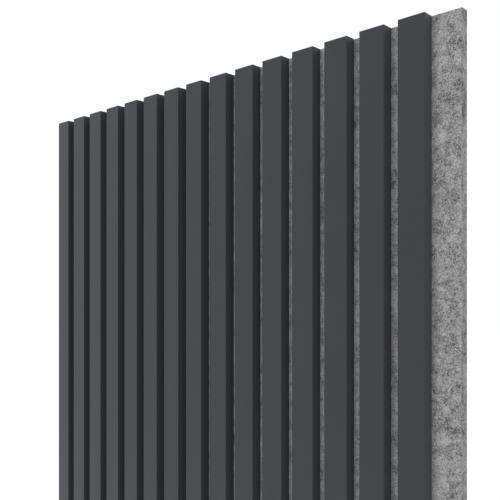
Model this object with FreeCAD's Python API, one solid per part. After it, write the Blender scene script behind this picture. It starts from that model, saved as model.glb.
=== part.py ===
"""Acoustic slat wall panel: upright fibreboard slats on a felt board, stapled from behind.

All lengths are in millimetres. The origin is the centre of the felt's back face, the face
that lies on the wall. +X runs to the right as the room sees the panel, +Y points into the
wall and +Z is up, so the slats face -Y.
"""
import FreeCAD, Part
import os
from math import sqrt

# The panel
panel_height = 2400.0
slat_count = 15

# The slats, all cut from one moulding
slat_width = 26.0
slat_thickness = 12.3     # 12 of board and the foil on its front
slat_gap = 14.0
slat_arris = 0.3          # radius along the two front edges, where the foil is wrapped

# The felt board
felt_thickness = 9.7
first_slat_seat = 12.5    # how much of the first slat's back lies on this panel's own felt

# The staples, bent from flat wire
wire_width = 0.95         # across the crown, along X
wire_thickness = 0.65     # in the plane of the crown and the legs
crown_length = 12.8       # over both legs
crown_bend = 0.4          # how far the bend into a leg takes off the outer corner
point_length = 1.0        # the slanted cut at the end of each leg
crown_sink = 0.35         # the crown lies this deep in the felt's back
front_cover = 5.65        # what is left of the slat in front of the points
end_row_inset = 60.0      # from each end of the panel to the nearest row of staples
staple_rows = 6
wire_clearance = 0.05     # around the wire in the felt and in the slat
point_clearance = 0.4     # ahead of the points in the slat

# Places across the panel. The felt covers one whole pitch for each slat, so panels that stand
# side by side keep the pitch. The felt is set to the right by the lap, and the first slat
# hides the joint to the panel on its left.
slat_pitch = slat_width + slat_gap
felt_width = slat_count * slat_pitch
felt_left = -felt_width / 2
lap = slat_width - first_slat_seat
first_slat_left = felt_left - lap

# Places through the panel
felt_back = 0.0
felt_front = felt_back - felt_thickness
slat_front = felt_front - slat_thickness
crown_back = felt_back - crown_sink
crown_front = crown_back - wire_thickness
points_front = slat_front + front_cover

# Places along the panel
bottom = -panel_height / 2
row_spacing = (panel_height - 2 * end_row_inset) / (staple_rows - 1)
row_heights = [bottom + end_row_inset + row * row_spacing for row in range(staple_rows)]


def slat_left(index):
    """Left edge of a slat, counted from 0 at the left."""
    return first_slat_left + index * slat_pitch


def staple_x(index):
    """Middle of the part of a slat's back that lies on the felt."""
    seat_left = max(slat_left(index), felt_left)
    return (seat_left + slat_left(index) + slat_width) / 2


def slat_section(left):
    """Cross-section of a slat at the panel's bottom end, with its two rounded front edges."""
    right = left + slat_width
    arc_offset = slat_arris * (1 - 1 / sqrt(2))    # from the square corner to the arc's middle

    def at(x, y):
        return FreeCAD.Vector(x, y, bottom)

    front_left = Part.Arc(
        at(left, slat_front + slat_arris),
        at(left + arc_offset, slat_front + arc_offset),
        at(left + slat_arris, slat_front),
    )
    front_right = Part.Arc(
        at(right - slat_arris, slat_front),
        at(right - arc_offset, slat_front + arc_offset),
        at(right, slat_front + slat_arris),
    )
    edges = [
        Part.LineSegment(at(left, felt_front), front_left.StartPoint),
        front_left,
        Part.LineSegment(front_left.EndPoint, front_right.StartPoint),
        front_right,
        Part.LineSegment(front_right.EndPoint, at(right, felt_front)),
        Part.LineSegment(at(right, felt_front), at(left, felt_front)),
    ]
    return Part.Face(Part.Wire([edge.toShape() for edge in edges]))


def prism(x, width, outline):
    """A closed outline of (y, z) points, made solid to both sides of a plane across X."""
    points = [FreeCAD.Vector(x - width / 2, y, z) for y, z in outline]
    face = Part.Face(Part.makePolygon(points + points[:1]))
    return face.extrude(FreeCAD.Vector(width, 0, 0))


def staple(x, z):
    """One staple: a crown along the slat, two bends and two legs with slanted points."""
    half = crown_length / 2
    inner = half - wire_thickness
    upper = [
        (crown_back, half - crown_bend),
        (crown_back - crown_bend, half),
        (points_front + point_length, half),
        (points_front, inner),
        (crown_front, inner),
    ]
    lower = [(y, -along) for y, along in reversed(upper)]
    return prism(x, wire_width, [(y, z + along) for y, along in upper + lower])


def staple_hole(x, z):
    """What a staple opens: a slot for its crown in the felt's back and a blind hole for each leg.

    The crown's underside rests on the felt between the legs.
    """
    half = crown_length / 2 + wire_clearance
    inner = crown_length / 2 - wire_thickness - wire_clearance
    hole_end = points_front - point_clearance
    upper = [(felt_back, half), (hole_end, half), (hole_end, inner), (crown_front, inner)]
    lower = [(y, -along) for y, along in reversed(upper)]
    outline = [(y, z + along) for y, along in upper + lower]
    return prism(x, wire_width + 2 * wire_clearance, outline)


def slat(index):
    """One slat with the blind holes that its staples' legs make in its back."""
    body = slat_section(slat_left(index)).extrude(FreeCAD.Vector(0, 0, panel_height))
    return body.cut([staple_hole(staple_x(index), z) for z in row_heights])


def felt_backing():
    """The felt board, opened wherever a staple goes in."""
    corner = FreeCAD.Vector(felt_left, felt_front, bottom)
    board = Part.makeBox(felt_width, felt_thickness, panel_height, corner)
    return board.cut([staple_hole(x, z) for x, z in staple_places])


def staples():
    """Every staple in the panel, as separate solids."""
    return Part.makeCompound([staple(x, z) for x, z in staple_places])


staple_places = [(staple_x(index), z) for index in range(slat_count) for z in row_heights]
pieces = {"felt_backing": felt_backing(), "staples": staples()}
for slat_index in range(slat_count):
    pieces[f"slat_{slat_index + 1:02d}"] = slat(slat_index)

os.makedirs("parts", exist_ok=True)
for name, shape in pieces.items():
    shape.exportStep(f"parts/{name}.step")
    print(f"{name}: {len(shape.Solids)} solid(s), {shape.Volume / 1000:.2f} cubic centimetres")
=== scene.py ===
"""The acoustic slat wall panel, dressed around its solid model.

Lengths are in metres in the model's own frame. The felt's back lies in the plane y = 0, the
slats face -Y, +Z is up, and the felt's middle is at x = 0 and z = 0.
"""
import math

import bpy
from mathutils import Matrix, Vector, noise


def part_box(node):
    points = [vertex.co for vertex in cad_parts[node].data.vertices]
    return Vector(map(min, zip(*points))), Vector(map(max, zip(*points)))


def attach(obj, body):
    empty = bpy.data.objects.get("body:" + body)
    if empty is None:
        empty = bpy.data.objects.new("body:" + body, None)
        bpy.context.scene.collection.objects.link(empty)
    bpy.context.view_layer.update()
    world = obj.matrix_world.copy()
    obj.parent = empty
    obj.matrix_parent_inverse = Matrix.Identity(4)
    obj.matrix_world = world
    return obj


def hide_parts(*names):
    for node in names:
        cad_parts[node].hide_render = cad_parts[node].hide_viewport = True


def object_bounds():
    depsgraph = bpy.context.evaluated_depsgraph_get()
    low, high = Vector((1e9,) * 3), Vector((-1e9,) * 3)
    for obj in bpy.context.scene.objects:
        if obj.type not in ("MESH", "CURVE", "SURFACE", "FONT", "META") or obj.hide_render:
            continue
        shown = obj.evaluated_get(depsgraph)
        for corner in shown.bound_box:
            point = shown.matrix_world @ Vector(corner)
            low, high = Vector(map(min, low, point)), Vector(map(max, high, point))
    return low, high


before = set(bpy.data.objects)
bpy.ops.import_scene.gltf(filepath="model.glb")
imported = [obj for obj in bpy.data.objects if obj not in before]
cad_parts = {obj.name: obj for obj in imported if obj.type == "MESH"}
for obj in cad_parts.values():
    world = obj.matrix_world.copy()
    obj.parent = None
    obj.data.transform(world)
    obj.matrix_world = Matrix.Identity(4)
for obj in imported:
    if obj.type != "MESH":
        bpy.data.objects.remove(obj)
cad_low, cad_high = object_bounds()

# Felt board
# One board of pressed recycled fibre, undyed, mid grey and charcoal, cut square with a blade.
# The slats hold it flat, so it swells a little in the gaps between them, and each staple draws
# it in around its crown.
MM = 0.001
STAPLE_ROWS = 6
CROWN_LENGTH = 12.8 * MM          # over both legs
CROWN_WIDTH = 0.95 * MM           # the wire, across the crown
CROWN_UNDERSIDE = -1.0 * MM       # its place through the board
SLOT_ROOM = 0.05 * MM             # around the crown
DIMPLE_DEPTH = 0.6 * MM           # how far a crown draws the felt in
DIMPLE_REACH = 7.0 * MM
SWELL = 0.25 * MM                 # how far the felt rises between two slats
SWELL_EDGE = 5.0 * MM             # how soon it rises beside a slat
UNEVEN = 0.12 * MM                # the unevenness of the pressed faces
UNEVEN_SIZE = 22.0 * MM
FRONT_PATCH = 1.0                 # far apart places in the noise, so that the faces differ
BACK_PATCH = 2.0
CUT_ARRIS = 0.35 * MM             # the soft corner along a cut edge
CUT_WANDER = 0.1 * MM             # how far a cut edge wanders inwards
WANDER_RATE = 4                   # how much faster that changes through the board than along it
COLUMN_SPACING = 7.0 * MM         # the mesh's widest columns and rows
ROW_SPACING = 16.0 * MM
DIMPLE_LINES = (0.0, 1.2 * MM, 3.2 * MM, DIMPLE_REACH)    # the mesh's lines around a slot, from its edge
CRISP_TURN = math.radians(30)     # corners sharper than this are shaded as corners

FELT_MID = (0.284, 0.284, 0.284, 1.0)
FELT_DARK = (0.062, 0.062, 0.062, 1.0)
FELT_LIGHT = (0.475, 0.475, 0.475, 1.0)
MARL_GRAIN = 1.2 * MM
MARL_DRIFT = 11.0 * MM            # the size of its darker and paler drifts
MARL_GATHER = 0.85                # how far the grains gather in the drifts
CHARCOAL_FADE = (0.47, 0.73)      # where in its noise the charcoal starts, and where it is full
PALE_FADE = (0.53, 0.27)          # the same for the undyed fibres
CUT_GRAIN = (0.75, 1.2, 0.75)     # on a cut edge it runs longer along the board than through it
BRIGHT_CURL = 3.0 * MM            # the size of the bright fibres' curls
DARK_CURL = 2.1 * MM
FIBRE_SHARE = 0.6                 # how strongly single fibres show
NAP_HEIGHT = 0.25 * MM

felt_low, felt_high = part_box("felt_backing")
slat_names = sorted(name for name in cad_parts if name.startswith("slat_"))
slat_boxes = [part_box(name) for name in slat_names]
staple_low, staple_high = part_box("staples")

crown_xs = [(max(low.x, felt_low.x) + high.x) / 2 for low, high in slat_boxes]
first_row = staple_low.z + CROWN_LENGTH / 2
last_row = staple_high.z - CROWN_LENGTH / 2
row_spacing = (last_row - first_row) / (STAPLE_ROWS - 1)
crown_zs = [first_row + row * row_spacing for row in range(STAPLE_ROWS)]
slot_half_width = CROWN_WIDTH / 2 + SLOT_ROOM
slot_half_length = CROWN_LENGTH / 2 + SLOT_ROOM


def mesh_lines(low, high, stops, spacing):
    """Sorted places from low to high, at each stop to the micrometre and never wider than spacing."""
    inside = [stop for stop in stops if low + CUT_ARRIS < stop < high - CUT_ARRIS]
    corners = sorted({round(stop, 6) for stop in [low, *inside, high]})
    lines = [corners[0]]
    for start, end in zip(corners, corners[1:]):
        steps = math.ceil((end - start) / spacing - 1e-6)
        lines += [start + (end - start) * (step + 1) / steps for step in range(steps)]
    return lines


def felt_grid():
    """The columns and rows of the felt's faces, with lines along the slats and around each crown."""
    column_stops = [edge for low, high in slat_boxes for edge in (low.x, high.x)]
    row_stops = []
    for reach in DIMPLE_LINES:
        for side in (-1, 1):
            column_stops += [x + side * (slot_half_width + reach) for x in crown_xs]
            row_stops += [z + side * (slot_half_length + reach) for z in crown_zs]
    xs = mesh_lines(felt_low.x + CUT_ARRIS, felt_high.x - CUT_ARRIS, column_stops, COLUMN_SPACING)
    zs = mesh_lines(felt_low.z + CUT_ARRIS, felt_high.z - CUT_ARRIS, row_stops, ROW_SPACING)
    return xs, zs


def unevenness(x, y, z):
    """Smooth noise from 0 to 1."""
    return 0.5 + 0.5 * noise.noise(Vector((x, y, z)) / UNEVEN_SIZE)


def rise_between_slats(x):
    """0 where a slat covers the felt, and up to 1 in the open."""
    nearest = 1.0
    for low, high in slat_boxes:
        if low.x <= x <= high.x:
            return 0.0
        nearest = min(nearest, min(abs(x - low.x), abs(x - high.x)) / SWELL_EDGE)
    return nearest * (2 - nearest)


def beyond_slot(x, z):
    """How far a place lies beyond the nearest crown's slot, across and along. Inside it is below 0."""
    across = min(abs(x - crown_x) for crown_x in crown_xs) - slot_half_width
    along = min(abs(z - crown_z) for crown_z in crown_zs) - slot_half_length
    return across, along


def drawn_in(x, z):
    """How far the felt's back is drawn in by the nearest crown, from 0 to 1."""
    across, along = beyond_slot(x, z)
    share = max(0.0, 1 - math.hypot(max(0.0, across), max(0.0, along)) / DIMPLE_REACH)
    return share * share


def felt_front(x, z):
    """The front face's place through the board."""
    out = rise_between_slats(x) * (SWELL + UNEVEN * (unevenness(x, FRONT_PATCH, z) - 0.5))
    return felt_low.y - out


def felt_back(x, z):
    """The back face's place through the board."""
    down = UNEVEN * unevenness(x, BACK_PATCH, z) + DIMPLE_DEPTH * drawn_in(x, z)
    return felt_high.y - down


def joined(near, far):
    """The faces between two closed loops of as many points."""
    return [(near[i - 1], near[i], far[i], far[i - 1]) for i in range(len(near))]


def felt_mesh():
    """The whole board as one closed mesh: two faces on one grid, joined by soft cut edges."""
    xs, zs = felt_grid()
    wide, tall = len(xs), len(zs)
    behind = wide * tall          # from a point of the front face to the one behind it
    points = [(x, felt_front(x, z), z) for z in zs for x in xs]
    points += [(x, felt_back(x, z), z) for z in zs for x in xs]

    faces = []
    for row in range(tall - 1):
        for column in range(wide - 1):
            corner = row * wide + column
            quad = (corner, corner + 1, corner + wide + 1, corner + wide)
            faces.append(quad)
            rim = tuple(behind + i for i in reversed(quad))
            middle_x = (xs[column] + xs[column + 1]) / 2
            middle_z = (zs[row] + zs[row + 1]) / 2
            in_slot = max(beyond_slot(middle_x, middle_z)) < 0
            if not in_slot:
                faces.append(rim)
                continue
            slot_floor = tuple(range(len(points), len(points) + len(rim)))
            points += [(points[i][0], CROWN_UNDERSIDE, points[i][2]) for i in rim]
            faces.append(slot_floor)
            faces += joined(rim, slot_floor)

    # The cut edges: loops once around the board, from the front face's rim to the back's
    loop = list(range(wide - 1))
    loop += [row * wide + wide - 1 for row in range(tall - 1)]
    loop += [(tall - 1) * wide + column for column in range(wide - 1, 0, -1)]
    loop += [row * wide for row in range(tall - 1, 0, -1)]
    loops = [loop]
    for y in (felt_low.y + CUT_ARRIS, (felt_low.y + felt_high.y) / 2, felt_high.y - CUT_ARRIS):
        loops.append(range(len(points), len(points) + len(loop)))
        for i in loop:
            x, _, z = points[i]
            out = CUT_ARRIS - CUT_WANDER * unevenness(x, y * WANDER_RATE, z)
            if i % wide in (0, wide - 1):
                x += math.copysign(out, x)
            if i // wide in (0, tall - 1):
                z += math.copysign(out, z)
            points.append((x, y, z))
    loops.append([behind + i for i in loop])
    for near, far in zip(loops, loops[1:]):
        faces += joined(far, near)

    mesh = bpy.data.meshes.new("felt_board")
    mesh.from_pydata(points, [], faces)
    mesh.polygons.foreach_set("use_smooth", [True] * len(faces))
    mesh.set_sharp_from_angle(angle=CRISP_TURN)
    return mesh


def feed(tree, socket, value):
    """Sets a socket to a value, or links it to another node's output."""
    if isinstance(value, bpy.types.NodeSocket):
        tree.links.new(value, socket)
    else:
        socket.default_value = value


def fill(tree, node, **inputs):
    """Feeds a node's sockets, by their names with _ for a space."""
    for name, value in inputs.items():
        feed(tree, node.inputs[name.replace("_", " ")], value)


def shader_node(tree, kind, options=None, **inputs):
    """Adds a node, with its options and what goes into it."""
    node = tree.nodes.new("ShaderNode" + kind)
    for name, value in (options or {}).items():
        setattr(node, name, value)
    fill(tree, node, **inputs)
    return node


def calculate(tree, operation, *values):
    """The result of a sum on one, two or three values."""
    node = shader_node(tree, "Math", {"operation": operation})
    for socket, value in zip(node.inputs, values):
        feed(tree, socket, value)
    return node.outputs[0]


def fade(tree, value, start, end, low=0.0, high=1.0):
    """Smoothly from low, where value is at start, to high, where it is at end."""
    node = shader_node(
        tree, "MapRange", {"interpolation_type": "SMOOTHSTEP"},
        Value=value, From_Min=start, From_Max=end, To_Min=low, To_Max=high,
    )
    return node.outputs[0]


def blend(tree, kind, share, first, second):
    """first where share is 0 and second where it is 1, for two numbers, vectors or colours."""
    node = shader_node(tree, "Mix", {"data_type": kind}, Factor=share, A=first, B=second)
    return node.outputs["Result"]


def new_group(name, inputs, outputs):
    """An empty node group with its sockets, and the nodes that stand for them inside."""
    tree = bpy.data.node_groups.new(name, "ShaderNodeTree")
    for socket, kind in inputs.items():
        tree.interface.new_socket(name=socket, in_out="INPUT", socket_type="NodeSocket" + kind)
    for socket, kind in outputs.items():
        tree.interface.new_socket(name=socket, in_out="OUTPUT", socket_type="NodeSocket" + kind)
    return tree, tree.nodes.new("NodeGroupInput").outputs, tree.nodes.new("NodeGroupOutput")


def place_group(tree, group, **inputs):
    """The outputs of a node group that is put into a material with this material's values."""
    return shader_node(tree, "Group", {"node_tree": group}, **inputs).outputs


def new_material(name):
    """An empty material, its Principled BSDF and its object coordinates."""
    material = bpy.data.materials.new(name)
    material.use_nodes = True
    tree = material.node_tree
    shader = tree.nodes["Principled BSDF"]
    place = tree.nodes.new("ShaderNodeTexCoord").outputs["Object"]
    return material, tree, shader, place


def facing(tree):
    """How far the surface faces along X, Y and Z."""
    normal = tree.nodes.new("ShaderNodeNewGeometry").outputs["Normal"]
    return shader_node(tree, "SeparateXYZ", Vector=normal).outputs


def speckle_group():
    """Speckle of two sizes: fine grains that gather in drifts."""
    tree, given, result = new_group(
        "speckle",
        {"Vector": "Vector", "Grain": "Float", "Drift": "Float", "Gather": "Float"},
        {"Mask": "Float"},
    )
    grains = shader_node(
        tree, "TexNoise", Vector=given["Vector"], Scale=calculate(tree, "DIVIDE", 1.0, given["Grain"]),
        Detail=2.0, Roughness=0.7, Distortion=0.4,
    )
    drifts = shader_node(
        tree, "TexNoise", Vector=given["Vector"], Scale=calculate(tree, "DIVIDE", 1.0, given["Drift"]),
        Detail=3.0, Roughness=0.65, Distortion=0.6,
    )
    drifting = calculate(tree, "SUBTRACT", drifts.outputs["Fac"], 0.5)
    gathered = calculate(tree, "MULTIPLY_ADD", drifting, given["Gather"], grains.outputs["Fac"])
    fill(tree, result, Mask=gathered)
    return tree


def fibres_group():
    """Fibres: thin curved lines along which a smooth noise crosses its middle value."""
    tree, given, result = new_group(
        "fibres", {"Vector": "Vector", "Curl": "Float", "Thickness": "Float"}, {"Mask": "Float"}
    )
    curls = shader_node(
        tree, "TexNoise", Vector=given["Vector"], Scale=calculate(tree, "DIVIDE", 1.0, given["Curl"]),
        Detail=1.0, Roughness=0.4, Distortion=1.2,
    )
    from_line = calculate(tree, "ABSOLUTE", calculate(tree, "SUBTRACT", curls.outputs["Fac"], 0.5))
    fill(tree, result, Mask=fade(tree, from_line, given["Thickness"], 0.0))
    return tree


speckle = speckle_group()
fibres = fibres_group()


def marl_felt():
    """Matt felt with a marl of three greys and single fibres that curl over it."""
    material, tree, shader, place = new_material("grey_marl_felt")
    on_cut = fade(tree, calculate(tree, "ABSOLUTE", facing(tree)["Y"]), 0.8, 0.4)
    stretched = shader_node(tree, "VectorMath", {"operation": "MULTIPLY"})
    feed(tree, stretched.inputs[0], place)
    feed(tree, stretched.inputs[1], CUT_GRAIN)
    laid = blend(tree, "VECTOR", on_cut, place, stretched.outputs[0])

    marl = place_group(
        tree, speckle, Vector=laid, Grain=MARL_GRAIN, Drift=MARL_DRIFT, Gather=MARL_GATHER
    )["Mask"]
    charcoal = fade(tree, marl, *CHARCOAL_FADE)
    pale = fade(tree, marl, *PALE_FADE)
    bright = place_group(tree, fibres, Vector=laid, Curl=BRIGHT_CURL, Thickness=0.06)["Mask"]
    dark = place_group(tree, fibres, Vector=laid, Curl=DARK_CURL, Thickness=0.05)["Mask"]
    bright = calculate(tree, "MULTIPLY", bright, FIBRE_SHARE)
    dark = calculate(tree, "MULTIPLY", dark, FIBRE_SHARE)

    colour = blend(tree, "RGBA", charcoal, FELT_MID, FELT_DARK)
    colour = blend(tree, "RGBA", pale, colour, FELT_LIGHT)
    colour = blend(tree, "RGBA", bright, colour, FELT_LIGHT)
    colour = blend(tree, "RGBA", dark, colour, FELT_DARK)
    nap = shader_node(
        tree, "Bump", Height=calculate(tree, "ADD", marl, bright), Strength=0.35, Distance=NAP_HEIGHT
    )
    fill(
        tree, shader, Base_Color=colour, Normal=nap.outputs["Normal"], Roughness=0.95,
        Specular_IOR_Level=0.15, Sheen_Weight=0.08, Sheen_Roughness=0.6,
    )
    return material


felt_board = bpy.data.objects.new("felt_board", felt_mesh())
bpy.context.scene.collection.objects.link(felt_board)
felt_board.data.materials.append(marl_felt())
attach(felt_board, "root")
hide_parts("felt_backing")

# Slats
# Strips of fibreboard, dyed through, with a matt anthracite foil wrapped around the front and
# sides and turned in along the edges of the back. The ends are sawn and show the board. The
# slats are glued to the felt and stapled from behind.
FOIL_COLOUR = (0.0418, 0.0433, 0.0499, 1.0)
FOIL_CLOUDING = 0.04              # how far its shade drifts to either side
FOIL_EDGE_COLOUR = (0.075, 0.075, 0.080, 1.0)
FOIL_SHEEN_TINT = (0.93, 0.96, 1.0, 1.0)
FOIL_THICKNESS = 0.3 * MM
FOIL_TURN_IN = 3.0 * MM           # how far the foil reaches onto the back
FOIL_SOFT = 0.05 * MM             # how far it fades to either side of its edge
EMBOSS_SIZE = 0.55 * MM           # the cells of its embossed grain
EMBOSS_HEIGHT = 0.03              # in millimetres, like BOARD_HEIGHT and SAW_MARK_HEIGHT
BOARD_COLOUR = (0.024, 0.022, 0.020, 1.0)
BOARD_FIBRE_COLOUR = (0.085, 0.075, 0.066, 1.0)
BOARD_FIBRE = 0.55 * MM
BOARD_HEIGHT = 0.16               # how rough a sawn end is
BOARD_SKIN = 2.5 * MM             # the denser, smoother board under each face
SKIN_FIBRES = 0.45                # how strongly the fibres show there
SAW_WAVE = 5.04 * MM              # the wave texture's unit: its marks lie about 2.2 mm apart
SAW_MARK_HEIGHT = 0.06

first_low, first_high = slat_boxes[0]
slat_width = first_high.x - first_low.x
slat_thickness = first_high.y - first_low.y
slat_pitch = slat_boxes[1][0].x - first_low.x


def between(tree, value, low, high, soft):
    """1 where value lies between low and high, and 0 outside, with soft limits."""
    above = fade(tree, value, low - soft, low + soft)
    below = fade(tree, value, high + soft, high - soft)
    return calculate(tree, "MULTIPLY", above, below)


def shade_of(colour, factor):
    """The same colour, lighter or darker."""
    return tuple(factor * part for part in colour[:3]) + (1.0,)


def bare_board(tree, across, depth, at_end, at_back):
    """1 where no foil covers the board: on the ends inside its edge, and between its hems."""
    inside_sides = between(tree, across, FOIL_THICKNESS, slat_width - FOIL_THICKNESS, FOIL_SOFT)
    behind_front = fade(tree, depth, FOIL_THICKNESS - FOIL_SOFT, FOIL_THICKNESS + FOIL_SOFT)
    inside_end = calculate(tree, "MULTIPLY", inside_sides, behind_front)
    inside_hems = between(tree, across, FOIL_TURN_IN, slat_width - FOIL_TURN_IN, 2 * FOIL_SOFT)
    bare_end = calculate(tree, "MULTIPLY", at_end, inside_end)
    bare_back = calculate(tree, "MULTIPLY", at_back, inside_hems)
    return calculate(tree, "MAXIMUM", bare_end, bare_back)


def foil(tree, place, at_end):
    """The foil's colour, barely clouded and paler on its cut edge, and its fine embossed height."""
    clouds = place_group(tree, speckle, Vector=place, Grain=1.2 * MM, Drift=90.0 * MM, Gather=1.0)
    clouded = blend(
        tree, "RGBA", fade(tree, clouds["Mask"], 0.2, 0.8),
        shade_of(FOIL_COLOUR, 1 - FOIL_CLOUDING), shade_of(FOIL_COLOUR, 1 + FOIL_CLOUDING),
    )
    cells = shader_node(
        tree, "TexVoronoi", {"feature": "SMOOTH_F1"}, Vector=place, Scale=1 / EMBOSS_SIZE
    )
    height = calculate(tree, "MULTIPLY", cells.outputs["Distance"], EMBOSS_HEIGHT)
    return blend(tree, "RGBA", at_end, clouded, FOIL_EDGE_COLOUR), height


def fibreboard(tree, place, depth):
    """Short pale fibres in a dark ground, coarser inside the board's skins, and the saw's marks."""
    chips = place_group(
        tree, speckle, Vector=place, Grain=BOARD_FIBRE, Drift=4.0 * MM, Gather=0.4
    )["Mask"]
    core = between(tree, depth, BOARD_SKIN, slat_thickness - BOARD_SKIN, soft=1.0 * MM)
    fibre_share = calculate(
        tree, "MULTIPLY", fade(tree, chips, 0.42, 0.75), fade(tree, core, 0.0, 1.0, SKIN_FIBRES, 1.0)
    )
    saw_marks = shader_node(
        tree, "TexWave", {"wave_type": "BANDS", "bands_direction": "DIAGONAL"},
        Vector=place, Scale=1 / SAW_WAVE, Distortion=1.5, Detail=1.0,
    )
    rough = calculate(tree, "MULTIPLY", chips, BOARD_HEIGHT)
    height = calculate(tree, "MULTIPLY_ADD", saw_marks.outputs["Fac"], SAW_MARK_HEIGHT, rough)
    return blend(tree, "RGBA", fibre_share, BOARD_COLOUR, BOARD_FIBRE_COLOUR), height


def wrapped_board():
    """Fibreboard wrapped in matt foil, the same on every slat."""
    material, tree, shader, place = new_material("anthracite_foil")
    spot = shader_node(tree, "SeparateXYZ", Vector=place).outputs
    from_first = calculate(tree, "SUBTRACT", spot["X"], first_low.x)
    across = calculate(tree, "FLOORED_MODULO", from_first, slat_pitch)
    depth = calculate(tree, "SUBTRACT", spot["Y"], first_low.y)
    towards = facing(tree)
    at_end = fade(tree, calculate(tree, "ABSOLUTE", towards["Z"]), 0.5, 0.9)
    at_back = fade(tree, towards["Y"], 0.5, 0.9)
    bare = bare_board(tree, across, depth, at_end, at_back)

    foil_colour, emboss = foil(tree, place, at_end)
    board_colour, sawn = fibreboard(tree, place, depth)
    relief = shader_node(
        tree, "Bump", Height=blend(tree, "FLOAT", bare, emboss, sawn), Strength=1.0, Distance=1.0 * MM
    )
    fill(
        tree, shader, Base_Color=blend(tree, "RGBA", bare, foil_colour, board_colour),
        Normal=relief.outputs["Normal"], Roughness=fade(tree, bare, 0.0, 1.0, 0.4, 0.85),
        Specular_IOR_Level=0.12, Sheen_Weight=0.22, Sheen_Roughness=0.5, Sheen_Tint=FOIL_SHEEN_TINT,
    )
    return material


slat_material = wrapped_board()
for name in slat_names:
    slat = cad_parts[name]
    slat.material_slots[0].material = slat_material

# Staples
# Bent from galvanised flat wire, with slanted points. They are driven from behind through the
# felt into the slats, until their crowns lie just below the felt's back.
STEEL_COLOUR = (0.62, 0.62, 0.60, 1.0)


def galvanised_wire():
    """Zinc with a faint spangle: its crystals differ a little in shade and gloss."""
    material, tree, shader, place = new_material("galvanised_wire")
    zinc = place_group(tree, speckle, Vector=place, Grain=0.3 * MM, Drift=2.0 * MM, Gather=0.6)["Mask"]
    fill(
        tree, shader, Base_Color=blend(tree, "RGBA", zinc, shade_of(STEEL_COLOUR, 0.8), STEEL_COLOUR),
        Roughness=fade(tree, zinc, 0.2, 0.8, 0.3, 0.5), Metallic=1.0,
    )
    return material


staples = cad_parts["staples"]
staples.material_slots[0].material = galvanised_wire()

# Floor
# A plain white studio floor under the panel's foot. What the camera sees of it is lifted to
# white, and the panel's shadow stays on it.
FLOOR_SIZE = 60.0
FLOOR_COLOUR = (0.8, 0.8, 0.8, 1.0)
FLOOR_LIFT = 0.35
FLOOR_GAP = 0.5 * MM              # below the panel's foot
WHITE = (1.0, 1.0, 1.0, 1.0)


def seen_directly(tree):
    """1 for rays from the camera and for those that a shiny or clear surface sends on."""
    ray = tree.nodes.new("ShaderNodeLightPath").outputs
    shiny = calculate(tree, "MAXIMUM", ray["Is Camera Ray"], ray["Is Glossy Ray"])
    return calculate(tree, "MAXIMUM", shiny, ray["Is Transmission Ray"])


def white_floor():
    """Matt white that adds a little light of its own where it is seen."""
    material = bpy.data.materials.new("white_floor")
    material.use_nodes = True
    tree = material.node_tree
    tree.nodes.clear()
    matt = shader_node(tree, "BsdfDiffuse", Color=FLOOR_COLOUR)
    glow = calculate(tree, "MULTIPLY", seen_directly(tree), FLOOR_LIFT)
    lift = shader_node(tree, "Emission", Color=WHITE, Strength=glow)
    both = tree.nodes.new("ShaderNodeAddShader")
    feed(tree, both.inputs[0], matt.outputs[0])
    feed(tree, both.inputs[1], lift.outputs[0])
    shader_node(tree, "OutputMaterial", Surface=both.outputs[0])
    return material


half = FLOOR_SIZE / 2
floor_level = cad_low.z - FLOOR_GAP
floor_mesh = bpy.data.meshes.new("floor")
floor_mesh.from_pydata(
    [(x, y, floor_level) for x, y in ((-half, -half), (half, -half), (half, half), (-half, half))],
    [], [(0, 1, 2, 3)],
)
floor_mesh.materials.append(white_floor())
floor = bpy.data.objects.new("floor", floor_mesh)
bpy.context.scene.collection.objects.link(floor)

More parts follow.
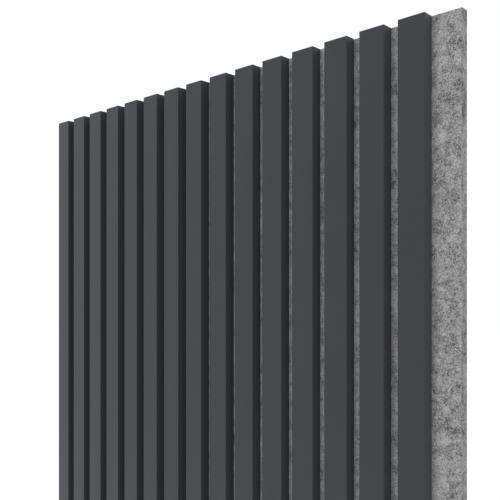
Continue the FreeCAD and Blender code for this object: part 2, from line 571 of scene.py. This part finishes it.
# Light
# A white tent all around gives most of the light. A wide lamp high on the left of the front
# puts the slats' right sides and the felt beside them in soft shade, and a weaker one on the
# right lightens that shade.
TENT_LEVEL = 0.66
SEEN_LEVEL = 1.01                 # white in the picture and in reflections


def hang_lamp(name, level, left, up, spread):
    """A far wide lamp, by its level on the slats' fronts, where 1 is white, and angles in degrees."""
    data = bpy.data.lights.new(name, "SUN")
    data.angle = math.radians(spread)
    data.energy = level * math.pi / (math.cos(math.radians(left)) * math.cos(math.radians(up)))
    lamp = bpy.data.objects.new(name, data)
    lamp.rotation_euler = (math.radians(90 - up), 0.0, math.radians(-left))
    lamp.visible_glossy = False
    bpy.context.scene.collection.objects.link(lamp)


world = bpy.data.worlds.new("white_tent")
world.use_nodes = True
tent = world.node_tree
tent_strength = calculate(tent, "MULTIPLY_ADD", seen_directly(tent), SEEN_LEVEL - TENT_LEVEL, TENT_LEVEL)
fill(tent, tent.nodes["Background"], Color=WHITE, Strength=tent_strength)
bpy.context.scene.world = world

hang_lamp("left_lamp", level=0.25, left=19, up=30, spread=30)
hang_lamp("right_lamp", level=0.10, left=-50, up=10, spread=50)

# Camera
# Level, below the panel's top and to the right of its front, turned left towards it. The
# frame is raised a little above the lens's axis, as the photograph's is.
CAMERA_RIGHT = 0.8658             # from the first slat's front left top corner
CAMERA_OUT = 0.5102
CAMERA_DOWN = 0.2270
CAMERA_TURN = math.radians(43.449)
SENSOR_WIDTH = 36.0
FOCAL_LENGTH = 47.893
FRAME_RAISE = 0.06001             # as a share of the picture's side

camera_data = bpy.data.cameras.new("camera")
camera_data.sensor_width = SENSOR_WIDTH
camera_data.lens = FOCAL_LENGTH
camera_data.shift_y = FRAME_RAISE
camera_data.clip_start = 0.05
camera_data.clip_end = 200.0
camera = bpy.data.objects.new("camera", camera_data)
camera.location = (cad_low.x + CAMERA_RIGHT, cad_low.y - CAMERA_OUT, cad_high.z - CAMERA_DOWN)
camera.rotation_euler = (math.radians(90), 0.0, CAMERA_TURN)
bpy.context.scene.collection.objects.link(camera)
bpy.context.scene.camera = camera
bpy.context.scene.view_settings.view_transform = "Standard"
